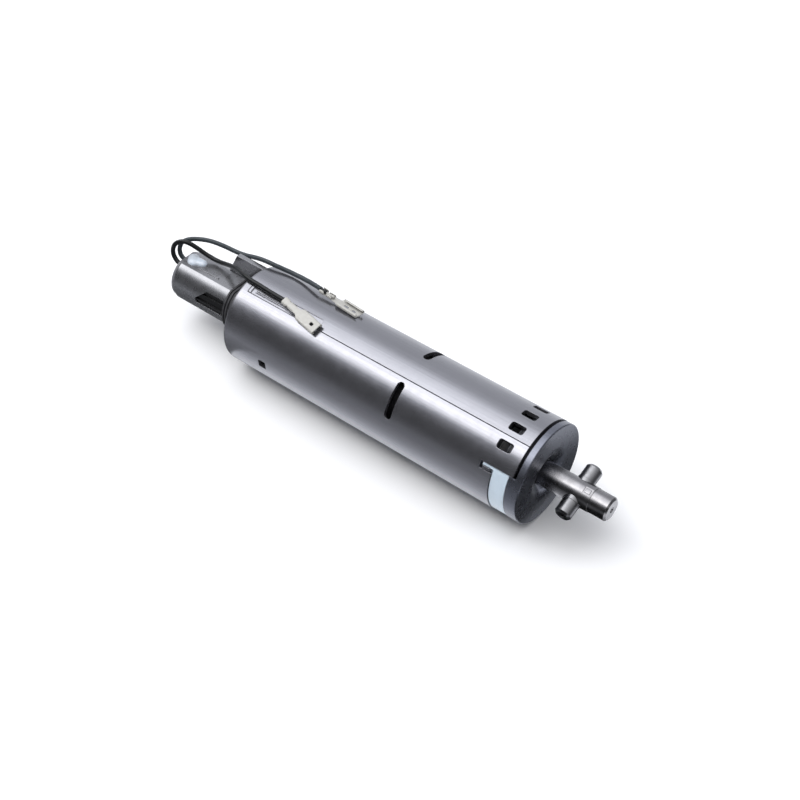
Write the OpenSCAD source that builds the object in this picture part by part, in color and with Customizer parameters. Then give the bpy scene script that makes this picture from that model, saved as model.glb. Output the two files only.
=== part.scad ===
// Tubular DC gearmotor for a roller shutter.
// Frame: origin at the centre of the cross pin, +X out along the drive axis, +Z up through the
// flat of the rear neck. Angles around the axis start at +Z and grow towards -Y.

/* [Housing] */
// Outer diameter of the tubular housing
housing_d = 40; // [39.8:0.1:40.4]
// Wall thickness of the two half shells
shell_wall = 1.6; // [1.4:0.1:1.7]
// Length of the half shells
shell_len = 135.5; // [135.5:0.5:140]
// Angle of the visible parting line
seam_a = 23.3; // [22.5:0.1:24.5]
// Gap between the half shells along the parting line
seam_gap = 0.26; // [0.16:0.02:0.4]

/* [Front cap] */
// Distance from the cross pin back to the outer face of the front cap
face_back = 13; // [12:0.5:14]
// Thickness of the front cap's rim
cap_rim = 2.6; // [2.4:0.1:3]
// Gap between the cap's rim and the shells
cap_gap = 1.25; // [1:0.05:1.3]
// Radius of the clearance hole around the shaft
cap_hole_r = 5.5; // [5.4:0.1:6]

/* [Output] */
// Diameter of the output shaft
shaft_d = 9.6; // [9.4:0.1:9.6]
// Diameter of the turned nose at the end of the shaft
nose_d = 9.2; // [8.8:0.1:9.2]
// Length of the shaft in front of the cross pin's centre
nose_len = 13.6; // [12:0.2:16]
// Diameter of the cross pin
pin_d = 6.5; // [5.5:0.5:6.5]
// Length of the cross pin
pin_len = 21.6; // [18:0.2:26]
// Angle of the cross pin's near end around the axis
pin_a = 108; // [60:1:150]

/* [Gearbox] */
// Module of the planetary gears
gear_m = 0.66; // [0.66:0.01:0.67]
// Teeth on each sun pinion
sun_n = 12;
// Teeth on each planet
planet_n = 18;
// Planets in each stage
planet_count = 3; // [3:1:3]

/* [Rear neck] */
// Length of the neck behind the housing
neck_len = 37; // [34:1:40]
// Diameter of the neck
neck_d = 20.4; // [19:0.2:21]
// Height of the neck's flat above the axis
flat_z = 9.2; // [8.6:0.1:9.4]

/* [Leads] */
// Outer diameter of each lead
lead_d = 1.9; // [1.6:0.1:2]
// Width of the receptacle terminals
tab_w = 5.4; // [4.8:0.1:5.8]

/* [Hidden] */
$fn = 96;
eps = 0.01;
fit = 0.06;            // clearance between seated pieces
graphite = [0.36, 0.36, 0.40];
steel = [0.62, 0.63, 0.65];
black = [0.08, 0.08, 0.09];
copper = [0.72, 0.42, 0.22];
brass = [0.78, 0.66, 0.36];
tin = [0.80, 0.81, 0.80];

housing_r = housing_d / 2;
shell_ri = housing_r - shell_wall;
face_x = -face_back;
rim_x = face_x - cap_rim;              // rear edge of the front cap's rim
shell_x1 = rim_x - cap_gap;            // front edge of the shells
shell_x0 = shell_x1 - shell_len;       // rear edge of the shells
rim_r = 1.4;                           // rounding of the shells' rear rim
tab_x = 4;                             // length of the interlocking tab at the rear
tab_a = 13.8;                          // angle by which the parting line steps there
rib_r = 17.35;                         // inner radius of the shells' support ribs

window_x = -24.6;      // centre of the row of windows
window_len = 6;        // along the axis
window_w = 3.6;        // around the axis
window_pitch = 22.5;
slot_x = -71;          // centre of the cooling slots
slot_w = 3.1;
slot_len = 14.6;       // around the axis, end to end
notch_a0 = 58.5;       // the L-shaped opening for the locking clip
notch_a1 = 136;
notch_x = -25;
notch_leg_x = -30.3;
notch_leg_a = 66.5;

// Axial stations of the drive train
hub_x = -23.6;         // rear of the front bearing's seat
ring_x1 = -30.6;
ring_x0 = -67;
adapter_x0 = -76;
can_x0 = -134;
bell_x0 = -139;

ring_n = sun_n + 2 * planet_n;
centre_r = gear_m * (sun_n + planet_n) / 2;
pin_r = pin_d / 2;
pin_mid_r = pin_r + 0.2;   // thicker middle of the cross pin, pressed into the shaft
shaft_r = shaft_d / 2;
nose_r = nose_d / 2;
nose_x = 6.2;              // shoulder between the shaft and its nose
planet_pin_r = 1.75;

// ---------------------------------------------------------------- helpers

// Child drawn standing on +Z is carried to angle a around the drive axis
module at_angle(a) rotate([a, 0, 0]) children();

// Cylinder along the drive axis from x0 to x1
module rod(r, x0, x1) translate([x0, 0, 0]) rotate([0, 90, 0]) cylinder(r = r, h = x1 - x0);

module rod_cone(r0, r1, x0, x1)
    translate([x0, 0, 0]) rotate([0, 90, 0]) cylinder(r1 = r0, r2 = r1, h = x1 - x0);

module tube(ro, ri, x0, x1) difference() {
    rod(ro, x0, x1);
    rod(ri, x0 - eps, x1 + eps);
}

// Profile in (radius, x) swept around the axis from angle a0 to a1
module sweep(a0 = 0, a1 = 360)
    rotate([0, 90, 0]) rotate([0, 0, a0 + 180]) rotate_extrude(angle = a1 - a0) children();

module sector(r0, r1, x0, x1, a0, a1)
    sweep(a0, a1) translate([r0, x0]) square([r1 - r0, x1 - x0]);

// Rectangle with round corners, exact arcs
module round_rect(lx, ly, r) {
    square([lx - 2 * r, ly], center = true);
    square([lx, ly - 2 * r], center = true);
    for (sx = [-1, 1], sy = [-1, 1])
        translate([sx * (lx / 2 - r), sy * (ly / 2 - r)]) circle(r, $fn = 32);
}

// Radial window through the shell
module window(a, x, lx, ly, r) at_angle(a)
    translate([x, 0, rib_r - 2]) linear_extrude(6) round_rect(lx, ly, r);

// Cooling slot around the axis, cut straight through from outside, with round ends
module cross_slot(a) at_angle(a) translate([slot_x, 0, rib_r - 4]) linear_extrude(8)
    round_rect(slot_w, slot_len, slot_w / 2 - 0.01);

// ---------------------------------------------------------------- housing shells

// Wall of the housing with its rounded rear rim and the ribs that carry the drive train
module shell_profile() {
    translate([shell_ri, shell_x0 + rim_r]) square([shell_wall, shell_len - rim_r]);
    translate([shell_ri, shell_x0]) square([shell_wall - rim_r, rim_r + 1]);
    intersection() {
        translate([housing_r - rim_r, shell_x0 + rim_r]) circle(rim_r, $fn = 48);
        translate([shell_ri, shell_x0 - 1]) square([shell_wall + 1, 2 * rim_r]);
    }
    for (x = [-46, -66, -79, -100, -128])
        translate([rib_r, x - 1]) square([shell_ri - rib_r + shell_wall / 2, 2]);
}

// Space on the far side of a parting plane through the axis, from x0 to x1
module beyond(a, x0, x1) at_angle(a) translate([x0, -seam_gap / 2, -housing_d])
    cube([x1 - x0, housing_d, 2 * housing_d]);

// Half of the housing that starts at the parting angle a and runs on for half a turn. At the
// rear the parting line steps sideways, so that the halves interlock.
module half_shell(a) {
    step_x = shell_x0 + tab_x;
    difference() {
        sweep() shell_profile();
        beyond(a, step_x - seam_gap / 2, shell_x1 + 1);
        beyond(a - tab_a, shell_x0 - 1, step_x + seam_gap / 2);
    }
}

// Shallow channel beside the parting line where the first lead is laid, with two fine ridges
module lead_channel() at_angle(seam_a - 6.6)
    translate([shell_x0 + tab_x + 18.2, 0, housing_r - 0.5]) linear_extrude(2) difference() {
        round_rect(34, 4.7, 1.1);
        for (y = [-1.1, -0.4]) translate([0, y]) square([30, 0.24], center = true);
    }

module shell_lower() color(graphite) difference() {
    half_shell(seam_a);
    for (k = [0, 5, 6, 7])
        window(seam_a + window_pitch * (k + 0.5), window_x, window_len, window_w, 0.9);
    for (a = [50, 149]) cross_slot(a);
    // L-shaped opening for the locking clip, with a small hooked finger in its leg
    sector(rib_r - 1, housing_r + 1, notch_x, shell_x1 + 1, notch_a0, notch_a1);
    difference() {
        sector(rib_r - 2, housing_r + 2, notch_leg_x, notch_x + 1, notch_a0, notch_leg_a);
        sector(rib_r - 3, housing_r + 3, -29, -26, 62.4, 65.2);
        sector(rib_r - 4, housing_r + 4, -28.9, -28.1, 64, 70);
    }
    // window for the motor's retaining lug
    window(95, -131.8, 3.6, 3.8, 0.6);
}

module shell_upper() color(graphite) difference() {
    half_shell(seam_a + 180);
    lead_channel();
    for (k = [0 : 7])
        window(seam_a + 180 + window_pitch * (k + 0.5), window_x, window_len, window_w, 0.9);
    for (a = [230, 329]) cross_slot(a);
    window(275, -131.8, 3.6, 3.8, 0.6);
}

// ---------------------------------------------------------------- rear end

neck_x0 = shell_x0 - neck_len;

module neck_section(r, z) difference() {
    circle(r);
    translate([-30, z]) square([60, 30]);
}

// Neck outline carried along the drive axis, flat side up
module neck_body(r, z, x0, x1)
    translate([x0, 0, 0]) rotate([90, 0, 90]) linear_extrude(x1 - x0) neck_section(r, z);

// Trapezoidal opening in the near side of the neck, crossed by two thin bars
module neck_pocket() at_angle(74) difference() {
    translate([0, 0, 9]) linear_extrude(5) polygon([[neck_x0 + 13, -3.4],
        [neck_x0 + 12.4, -1.6], [neck_x0 + 18, 3.4], [neck_x0 + 27, 3.4],
        [neck_x0 + 28.4, 1.6], [neck_x0 + 28.4, -3.4]]);
    for (y = [-2.2, 0.8]) translate([neck_x0, y, 8]) cube([40, 0.5, 1.6]);
}

module rear_neck() color(graphite) difference() {
    union() {
        neck_body(neck_d / 2, flat_z, neck_x0, shell_x0 + 1);
        rod(17.7, shell_x0 + 0.3, shell_x0 + 3);
        // inner flange that the half shells close over
        rod(shell_ri - fit, shell_x0 + rim_r + 0.2, shell_x0 + 3.2);
        // upright rib that keys the motor in its bracket
        translate([0, 7.6, 0]) rotate([90, 0, 0]) linear_extrude(2) polygon([
            [shell_x0 - 19.9, flat_z - 2], [shell_x0 - 14.4, 17.8],
            [shell_x0 - 0.05, 17.8], [shell_x0 - 0.05, flat_z - 2]]);
        // low ridge along the flat
        translate([neck_x0 + 8, -2.5, flat_z - 0.5]) cube([11, 0.7, 0.85]);
    }
    rod(8.3, neck_x0 - 1, shell_x0 + 10);
    neck_pocket();
    // lead-in edge at the tail
    difference() {
        rod(neck_d / 2 + 1, neck_x0 - 1, neck_x0 + 0.5);
        rod_cone(neck_d / 2 - 0.5, neck_d / 2, neck_x0 - eps, neck_x0 + 0.5 + eps);
    }
}

// Soft ring around the root of the neck
module neck_collar() color(black) difference() {
    neck_body(neck_d / 2 + 1.1, flat_z + 0.9, shell_x0 - 8.8, shell_x0 + 0.2);
    neck_body(neck_d / 2 + fit, flat_z + fit, shell_x0 - 10, shell_x0 + 1);
    // gap for the upright rib
    translate([shell_x0 - 20, 5, 0]) cube([40, 8, 30]);
    for (x = [-8 : 1.4 : -2]) translate([shell_x0 + x, 0, 0]) difference() {
        rod(14, 0, 0.7);
        neck_body(neck_d / 2 + 0.6, flat_z + 0.5, -1, 2);
    }
}

// Where each lead leaves the tail, and where its wire enters the plug from inside
exit_1 = [neck_x0 - 1.2, -3.6, 7.7];
exit_2 = [neck_x0 - 1.2, -0.6, 7.8];
wire_1 = [-3.6, 5.6];
wire_2 = [-0.6, 6.2];

// Plug in the tail with one hole for each lead
module tail_grommet() color(black) difference() {
    union() {
        rod(8.3 - fit, neck_x0 - 0.2, neck_x0 + 3.5);
        translate([neck_x0 - 1.2, 0, 0]) rotate([90, 0, 90]) linear_extrude(1.1)
            neck_section(neck_d / 2 - 0.5, flat_z - 0.3);
    }
    for (w = [wire_1, wire_2])
        translate([neck_x0 + 1.3, w[0], w[1]]) rotate([0, 90, 0]) cylinder(r = 1.15, h = 5);
}

// Bead of hot-melt glue on the flat of the neck
module adhesive_blob() color([0.93, 0.94, 0.95]) difference() {
    hull() {
        translate([neck_x0 + 2.4, -0.4, flat_z]) sphere(1.9, $fn = 20);
        translate([neck_x0 + 2.4, 0.9, flat_z]) sphere(1.8, $fn = 20);
        translate([neck_x0 + 7.4, 1.1, flat_z]) sphere(1.8, $fn = 20);
    }
    translate([neck_x0 - 5, -10, flat_z - 6 + 0.03]) cube([40, 20, 6]);
}

// ---------------------------------------------------------------- front end

cap_r = housing_r - 0.1;

dish_r = 11;           // outer edge of the dish around the shaft
dish_bend = 8;         // radius of the bend that leads from the face into the dish
barb_x = window_x + 0.7;

// Disc of the cap: its face bends smoothly inwards around the shaft
module cap_profile() difference() {
    polygon([[cap_hole_r, rim_x], [cap_hole_r, face_x], [cap_r - 0.35, face_x],
        [cap_r, face_x - 0.35], [cap_r, rim_x]]);
    difference() {
        translate([cap_hole_r - 1, rim_x]) square([dish_r - cap_hole_r + 1, cap_rim + 1]);
        translate([dish_r, face_x - dish_bend]) circle(dish_bend);
    }
}

// Wedge on the cap's spigot that snaps into a window
module snap_barb(a) at_angle(a) rotate([90, 0, 0]) translate([0, 0, -1.1])
    linear_extrude(2.2) polygon([[barb_x, shell_ri - 1], [barb_x + 2, shell_ri - 1],
        [barb_x + 2, housing_r - 1.1], [barb_x + 1.2, housing_r - 1.1]]);

window_angles = [for (k = [0, 5, 6, 7]) seam_a + window_pitch * (k + 0.5),
    for (k = [0 : 7]) seam_a + 180 + window_pitch * (k + 0.5)];

module front_cap() color([0.30, 0.31, 0.35]) {
    sweep() cap_profile();
    // spigot inside the shells, open where the clip sits and behind each window
    difference() {
        sector(shell_ri - 1.6, shell_ri - fit, -28, rim_x + 0.4, notch_a1 + 5, 415);
        for (a = window_angles) at_angle(a) translate([barb_x - 3.5, -1.7, 15])
            cube([3.5, 3.4, 5]);
    }
    // hub around the bearing
    difference() {
        rod(13.4, hub_x, rim_x + 0.4);
        rod(11.1 + fit, hub_x - 1, rim_x);
        rod(cap_hole_r + 1, hub_x - 1, face_x);
    }
    // lug that fills the front of the notch
    sector(shell_ri - 1.5, cap_r - 0.04, rim_x - 2.6, rim_x + 1, notch_a0 + 0.8, notch_a1 - 0.8);
    for (a = window_angles) snap_barb(a);
}

// White clip that closes the L-shaped opening and locks the cap
module locking_clip() color([0.90, 0.94, 0.97]) {
    r0 = shell_ri - 1.5;
    r1 = shell_ri - 0.1;
    r2 = housing_r - 0.3;
    difference() {
        sector(r0, r1, -29.6, rim_x - 2.8, notch_a0 - 1.5, notch_a1 + 2);
        sector(r0 - 1, r1 + 1, -31, -26.6, notch_leg_a + 0.5, notch_a1 + 3);
    }
    // raised pad that fills the opening, and its leg
    sector(r0 + 0.6, r2, notch_x + 0.25, rim_x - 2.85, notch_a0 + 0.7, notch_a1 - 0.8);
    sector(r0 + 0.7, r2 - 0.05, -29.4, notch_x + 0.6, notch_a0 + 0.8, 62);
}

bearing_x1 = rim_x - 0.05;
bearing_x0 = bearing_x1 - 7;
ball_count = 10;
ball_r = 1.5;
ball_pitch_r = 7.95;

module race(r0, r1) difference() {
    tube(r1, r0, bearing_x0, bearing_x1);
    translate([(bearing_x0 + bearing_x1) / 2, 0, 0]) rotate([0, 90, 0])
        rotate_extrude() translate([ball_pitch_r, 0]) circle(ball_r + 0.03, $fn = 48);
}

module front_bearing_outer() color(steel) race(8.9, 11.1);
module front_bearing_inner() color(steel) race(shaft_r + 0.02, 7.0);
module front_bearing_balls() color(steel) for (i = [0 : ball_count - 1])
    at_angle(i * 360 / ball_count) translate([(bearing_x0 + bearing_x1) / 2, 0, ball_pitch_r])
        sphere(ball_r, $fn = 48);

// ---------------------------------------------------------------- output

module output_shaft() color(steel) difference() {
    union() {
        rod(shaft_r, -34.4, nose_x);
        rod(nose_r, 0, nose_len - 0.7);
        rod_cone(nose_r, nose_r - 0.7, nose_len - 0.7, nose_len);
    }
    at_angle(pin_a) cylinder(r = pin_mid_r + 0.01, h = 40, center = true);
    // groove for the circlip
    difference() {
        rod(shaft_r + 1, bearing_x0 - 1.1, bearing_x0 - 0.02);
        rod(shaft_r - 0.6, bearing_x0 - 2, bearing_x0 + 1);
    }
    // turning centre
    translate([nose_len - 1.4, 0, 0]) rotate([0, 90, 0]) cylinder(r1 = 0.2, r2 = 1.3, h = 1.5, $fn = 32);
    // plain square staking mark
    at_angle(17) translate([4.3, 0, shaft_r - 0.22]) difference() {
        linear_extrude(2) square([3.2, 3], center = true);
        translate([0, 0, -1]) linear_extrude(4) square([2, 1.8], center = true);
    }
}

module cross_pin() color(steel) at_angle(pin_a) difference() {
    union() {
        cylinder(r = pin_mid_r, h = 2 * shaft_r + 0.1, center = true);
        cylinder(r = pin_r, h = pin_len - 1.6, center = true);
        for (s = [0, 180]) rotate([s, 0, 0]) translate([0, 0, pin_len / 2 - 0.8 - eps])
            cylinder(r1 = pin_r, r2 = pin_r - 0.7, h = 0.8 + eps);
    }
    translate([0, 0, pin_len / 2 - 3]) cylinder(r = 1.3, h = 4, $fn = 32);
}

module shaft_circlip() color(steel) difference() {
    tube(6.3, shaft_r - 0.5, bearing_x0 - 1.05, bearing_x0 - 0.05);
    translate([bearing_x0 - 2, -1.4, 0]) cube([3, 2.8, 10]);
}

// Sleeve that spaces the carrier from the bearing
module shaft_spacer() color(brass) tube(6.6, shaft_r + 0.03, -30.95, bearing_x0 - 1.15);

// ---------------------------------------------------------------- gears

pressure_a = 20;
// Involute: polar angle of the flank at radius r for a base radius rb, in degrees
function inv_a(r, rb) = let (c = sqrt(max(0, pow(r / rb, 2) - 1))) c * 180 / PI - atan(c);
function polar(r, a) = [r * cos(a), r * sin(a)];

// Half angle of a tooth at radius r; thin is the part of the pitch left as backlash
function half_tooth(n, r, thin) =
    let (rp = gear_m * n / 2, rb = rp * cos(pressure_a))
    90 / n * (1 - thin) + inv_a(rp, rb) - inv_a(max(r, rb), rb);

// Outline of a gear between root radius rr and tip radius rt, flank in four steps
function gear_points(n, rr, rt, thin) = [for (i = [0 : n - 1]) let (
    a = 360 * i / n, rb = gear_m * n / 2 * cos(pressure_a), r0 = max(rr + 0.02, rb),
    steps = [for (k = [0 : 3]) r0 + (rt - r0) * k / 3])
    each concat([polar(rr, a - half_tooth(n, r0, thin) - 1.2)],
        [for (r = steps) polar(r, a - half_tooth(n, r, thin))],
        [for (k = [3 : -1 : 0]) polar(steps[k], a + half_tooth(n, steps[k], thin))],
        [polar(rr, a + half_tooth(n, r0, thin) + 1.2)])];

module gear_2d(n, thin = 0.1)
    polygon(gear_points(n, gear_m * (n / 2 - 1.1), gear_m * (n / 2 + 0.72), thin));

// Space cut into the ring gear, which is a gear outline with wide teeth
module ring_2d() polygon(gear_points(ring_n, gear_m * (ring_n / 2 - 0.62),
    gear_m * (ring_n / 2 + 1.05), -0.1));

// Gear standing along the drive axis
module gear(n, x0, x1, turn = 0) translate([x0, 0, 0]) rotate([0, 90, 0])
    rotate([0, 0, turn]) linear_extrude(x1 - x0) gear_2d(n);

// In the gears' own plane the first planet sits at polar angle 180, straight up in the part.
// The sun has a tooth at polar angle 0, and every planet sits a whole number of teeth from it.
module planet(i, x0, x1) color([0.86, 0.85, 0.80]) translate([x0, 0, 0]) rotate([0, 90, 0]) {
    place = 180 + i * 360 / planet_count;
    rotate([0, 0, place]) translate([centre_r, 0, 0]) difference() {
        // a tooth space faces the sun's tooth, and another takes a tooth of the ring
        linear_extrude(x1 - x0) rotate([0, 0, 180 / planet_n]) gear_2d(planet_n);
        translate([0, 0, -1]) cylinder(r = planet_pin_r + 0.05, h = x1 - x0 + 2, $fn = 48);
    }
}

module ring_gear() color([0.80, 0.80, 0.76]) difference() {
    rod(rib_r - fit, ring_x0, ring_x1);
    translate([ring_x0 - 1, 0, 0]) rotate([0, 90, 0])
        rotate([0, 0, 180 / ring_n]) linear_extrude(50) ring_2d();
}

// Carrier plate with its planet pins pointing rearwards
module carrier_plate(x0, x1, pin_end) {
    rod(14.2, x0, x1);
    for (i = [0 : planet_count - 1]) at_angle(i * 360 / planet_count)
        translate([pin_end, 0, centre_r]) rotate([0, 90, 0])
            cylinder(r = planet_pin_r, h = x0 - pin_end + eps, $fn = 48);
}

module output_carrier() color(steel) difference() {
    carrier_plate(-34.4, -31, -46.8);
    rod(shaft_r, -34.5, -30.9);
}

module input_carrier() color(steel) {
    carrier_plate(-52.6, -49.6, -64.8);
    gear(sun_n, -49.7, -35.4);
}

module planet_out_a() planet(0, -46.6, -35);
module planet_out_b() planet(1, -46.6, -35);
module planet_out_c() planet(2, -46.6, -35);
module planet_in_a() planet(0, -64.6, -53.2);
module planet_in_b() planet(1, -64.6, -53.2);
module planet_in_c() planet(2, -64.6, -53.2);

module motor_pinion() color(brass) difference() {
    gear(sun_n, -65.6, -53.4);
    rod(armature_r, -70, -50);
}

// ---------------------------------------------------------------- motor

armature_r = 2;
can_r = rib_r - fit;
magnet_ro = can_r - 1.4;
core_r = 12.4;
core_x0 = -120;
core_x1 = -87;
pole_count = 7;

module gearbox_adapter() color(black) difference() {
    union() {
        rod(can_r, ring_x0 - 1.6, ring_x0 - fit);
        rod(14.6, adapter_x0 + 1, ring_x0 - fit);
        rod(can_r, adapter_x0 + fit, adapter_x0 + 2.2);
    }
    rod(5.4, adapter_x0 - 1, ring_x0 + 1);
    for (a = [60, 180, 300]) at_angle(a) translate([ring_x0 - 3.4, 0, 9.4]) rotate([0, 90, 0])
        cylinder(r = 3, h = 5, $fn = 48);
    for (a = [60, 180, 300]) at_angle(a) translate([adapter_x0 - 1, 0, 9.4]) rotate([0, 90, 0])
        cylinder(r = 1.6, h = 12, $fn = 48);
}

module adapter_screws() color(steel) for (a = [60, 180, 300])
    at_angle(a) translate([0, 0, 9.4]) difference() {
        union() {
            rod(2.7, ring_x0 - 3.3, ring_x0 - 1.3);
            rod(1.4, adapter_x0 - 1.2, ring_x0 - 3.2);
        }
        translate([ring_x0 - 1.9, -3, -0.35]) cube([1, 6, 0.7]);
    }

module motor_can() color(steel) difference() {
    rod(can_r, can_x0, adapter_x0);
    rod(magnet_ro, can_x0 - 1, adapter_x0 - 1.4);
    rod(4.2, can_x0, adapter_x0 + 1);
    for (a = [60, 180, 300]) at_angle(a) translate([adapter_x0 - 3, 0, 9.4]) rotate([0, 90, 0])
        cylinder(r = 1.45, h = 4, $fn = 48);
}

module front_bush() color(brass) tube(4.15, armature_r + 0.03, -80, adapter_x0 + 1.4);

module magnets() color([0.20, 0.20, 0.21]) for (a = [0, 180])
    sector(13, magnet_ro - fit, core_x0 - 2, core_x1 + 2, a - 70, a + 70);

module armature_shaft() color(steel) rod(armature_r - 0.01, bell_x0 - 3.4, -54);

module core_slots(grow = 0) for (i = [0 : pole_count - 1]) rotate(i * 360 / pole_count) {
    translate([8.3, 0]) circle(2.3 + grow, $fn = 32);
    translate([8.3, -0.7]) square([6, 1.4]);
}

module lamination_stack() color([0.50, 0.51, 0.53]) translate([core_x0, 0, 0])
    rotate([0, 90, 0]) linear_extrude(core_x1 - core_x0) difference() {
        circle(core_r);
        core_slots();
        circle(armature_r);
    }

module windings() color(copper) {
    translate([core_x0 - 0.5, 0, 0]) rotate([0, 90, 0]) linear_extrude(core_x1 - core_x0 + 1)
        for (i = [0 : pole_count - 1]) rotate(i * 360 / pole_count) translate([8.3, 0])
            circle(2.2, $fn = 32);
    for (x = [core_x0 - 2.6, core_x1 + 2.6])
        translate([x, 0, 0]) rotate([0, 90, 0]) rotate_extrude() translate([7.9, 0])
            round_rect(5.6, 4.6, 1.6);
}

module commutator() color(copper) difference() {
    rod(4.9, -131.6, -124.4);
    rod(armature_r, -140, -120);
    for (i = [0 : pole_count - 1]) at_angle(i * 360 / pole_count)
        translate([-132, -0.25, 4.2]) cube([8, 0.5, 2]);
}

brush_x = -128.4;
brush_len = 4.4;

// End bell with the two brush boxes
module end_bell() color(black) difference() {
    union() {
        rod(can_r, bell_x0, can_x0 - fit);
        rod(magnet_ro - fit, bell_x0, can_x0 + 1.6);
        rod(6, bell_x0 - 3.4, bell_x0 + 1);
        for (a = [90, 270]) at_angle(a) translate([brush_x, 0, 10.2])
            cube([5.4, 6.4, 8.4], center = true);
        for (a = [90, 270]) at_angle(a) translate([-133.2, 0, 10.2])
            cube([6, 6.4, 8.4], center = true);
    }
    rod(4.2, bell_x0 - 4, -120);
    for (a = [90, 270]) at_angle(a) translate([brush_x, 0, 9.5])
        cube([3.4, 4.3, 12], center = true);
    for (a = [90, 270]) at_angle(a) translate([brush_x, 0, 5]) cube([9, 12, 2], center = true);
}

module rear_bush() color(brass) tube(4.15, armature_r + 0.03, bell_x0 - 3.2, bell_x0 + 1.8);

module brushes() color([0.16, 0.16, 0.17]) for (a = [90, 270]) at_angle(a) difference() {
    translate([brush_x - 1.6, -2, 0]) cube([3.2, 4, 5 + brush_len]);
    rod(5, -140, -120);
}

module brush_springs() color(steel) for (a = [90, 270]) at_angle(a)
    translate([brush_x, 0, 5 + brush_len + fit]) difference() {
        cylinder(r = 1.3, h = 4.6, $fn = 48);
        translate([0, 0, -1]) cylinder(r = 0.85, h = 7, $fn = 48);
    }

tab_y = 6.8;
tab_z = 3;
module motor_tabs() color(brass) for (s = [-1, 1])
    translate([bell_x0 - 6, s * tab_y - 1.4, tab_z]) cube([6 - fit, 2.8, 0.5]);

module suppressor_capacitor() color([0.78, 0.50, 0.18]) {
    translate([bell_x0 - 6.6, 0, -5]) rod(3.6, 0, 2.6);
    for (s = [-1, 1]) translate([bell_x0 - 5.6, s * 2, -2.4]) {
        rotate([-s * 45, 0, 0]) cylinder(r = 0.3, h = 5, $fn = 24);
        translate([0, s * 3.5, 3.5]) sphere(0.3, $fn = 24);
    }
}

// ---------------------------------------------------------------- leads

// Rings of a tube along a route. The routes never run along Y, so Y steadies the rings.
function unit(v) = v / norm(v);
function tangent(p, i) = unit(p[min(i + 1, len(p) - 1)] - p[max(i - 1, 0)]);
function ring_points(p, i, r, sides) = let (
    t = tangent(p, i), u = unit(cross(t, [0, 1, 0])), v = cross(t, u))
    [for (k = [0 : sides - 1]) p[i] + r * (cos(360 * k / sides) * u + sin(360 * k / sides) * v)];

module cord(p, d, sides = 8) {
    n = len(p);
    points = [for (i = [0 : n - 1]) each ring_points(p, i, d / 2, sides)];
    walls = [for (i = [0 : n - 2], k = [0 : sides - 1]) let (m = (k + 1) % sides)
        [i * sides + k, i * sides + m, (i + 1) * sides + m, (i + 1) * sides + k]];
    first = [for (k = [sides - 1 : -1 : 0]) k];
    last = [for (k = [0 : sides - 1]) (n - 1) * sides + k];
    polyhedron(points = points, faces = concat([first], walls, [last]), convexity = 6);
}

// Route of the first lead: out of the tail, over in a loop, along the flat, up onto the housing
lead_1_route = [
    exit_1, [-191.9, -3.6, 7.95], [-193.3, -3.45, 8.9], [-194.35, -3.2, 10.4],
    [-194.75, -2.8, 12.2], [-194.45, -2.3, 14.0], [-193.5, -1.7, 15.5], [-192.1, -1.0, 16.5],
    [-190.2, -0.1, 16.85], [-188.1, 0.8, 16.3], [-186.2, 1.7, 15.1], [-184.2, 2.6, 13.6],
    [-182.0, 3.3, 12.3], [-179.4, 3.8, 11.5], [-176.6, 3.9, 11.4], [-173.6, 3.7, 12.0],
    [-170.6, 3.2, 13.1], [-167.6, 2.4, 14.4], [-164.4, 1.3, 15.9], [-161.2, 0.0, 17.4],
    [-158.2, -1.5, 18.8], [-155.4, -2.9, 20.0], [-152.6, -3.9, 20.75], [-149.4, -4.25, 20.68],
    [-145.2, -4.4, 20.6], [-141.2, -4.6, 20.55], [-136.8, -4.8, 20.54], [-132.2, -4.98, 20.58]];

// Route of the second lead: beside the first, over the upright rib, along the far side
lead_2_route = [
    exit_2, [-191.8, -0.6, 8.1], [-193.0, -0.5, 9.0], [-193.8, -0.2, 10.4], [-194.0, 0.3, 12.0],
    [-193.5, 1.0, 13.8], [-192.2, 1.9, 15.2], [-190.3, 2.9, 16.2], [-188.0, 4.0, 16.8],
    [-185.4, 5.0, 17.2], [-182.8, 5.9, 17.4], [-180.2, 6.6, 17.4], [-177.0, 7.4, 17.1],
    [-174.2, 8.2, 16.5], [-171.4, 8.7, 16.1], [-169.0, 8.85, 16.2], [-166.5, 8.85, 16.6],
    [-163.8, 8.8, 17.3], [-160.9, 8.75, 18.2], [-157.7, 8.7, 19.1], [-154.8, 8.7, 19.6],
    [-151.8, 8.9, 19.7], [-149.4, 9.3, 19.4], [-147.3, 9.9, 18.95], [-145.3, 10.5, 18.5],
    [-143.2, 11.0, 18.15], [-141.0, 11.3, 17.9], [-138.5, 11.3, 18.05], [-135.65, 10.95, 18.45],
    [-132.6, 10.35, 19.15], [-129.95, 9.65, 19.8], [-127.5, 9.05, 20.35], [-125.2, 8.55, 20.65]];

// Wires inside the neck, from the motor's tabs to the tail plug
module inner_leads() color(black) {
    wire_z = tab_z + 1.52;
    back_x = neck_x0 + 3.6;
    cord([[-143.4, -tab_y, wire_z], [-145.6, -6.4, wire_z], [-149, -5.2, wire_z],
        [-153, -4.6, wire_z], [-160, -4.2, 4.7], [-168, -3.8, 5.0], [-176, -3.6, 5.4],
        [-181, wire_1[0], wire_1[1]], [back_x, wire_1[0], wire_1[1]]], 1.9);
    cord([[-143.4, tab_y, wire_z], [-145.6, 6.4, wire_z], [-149, 5.2, wire_z],
        [-153, 4.4, wire_z], [-160, 2.8, 4.8], [-168, 0.8, 5.4], [-176, -0.4, 6.0],
        [-181, wire_2[0], wire_2[1]], [back_x, wire_2[0], wire_2[1]]], 1.9);
}

module lead_1() color(black) cord(lead_1_route, lead_d);
module lead_2() color(black) cord(lead_2_route, lead_d);

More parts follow.
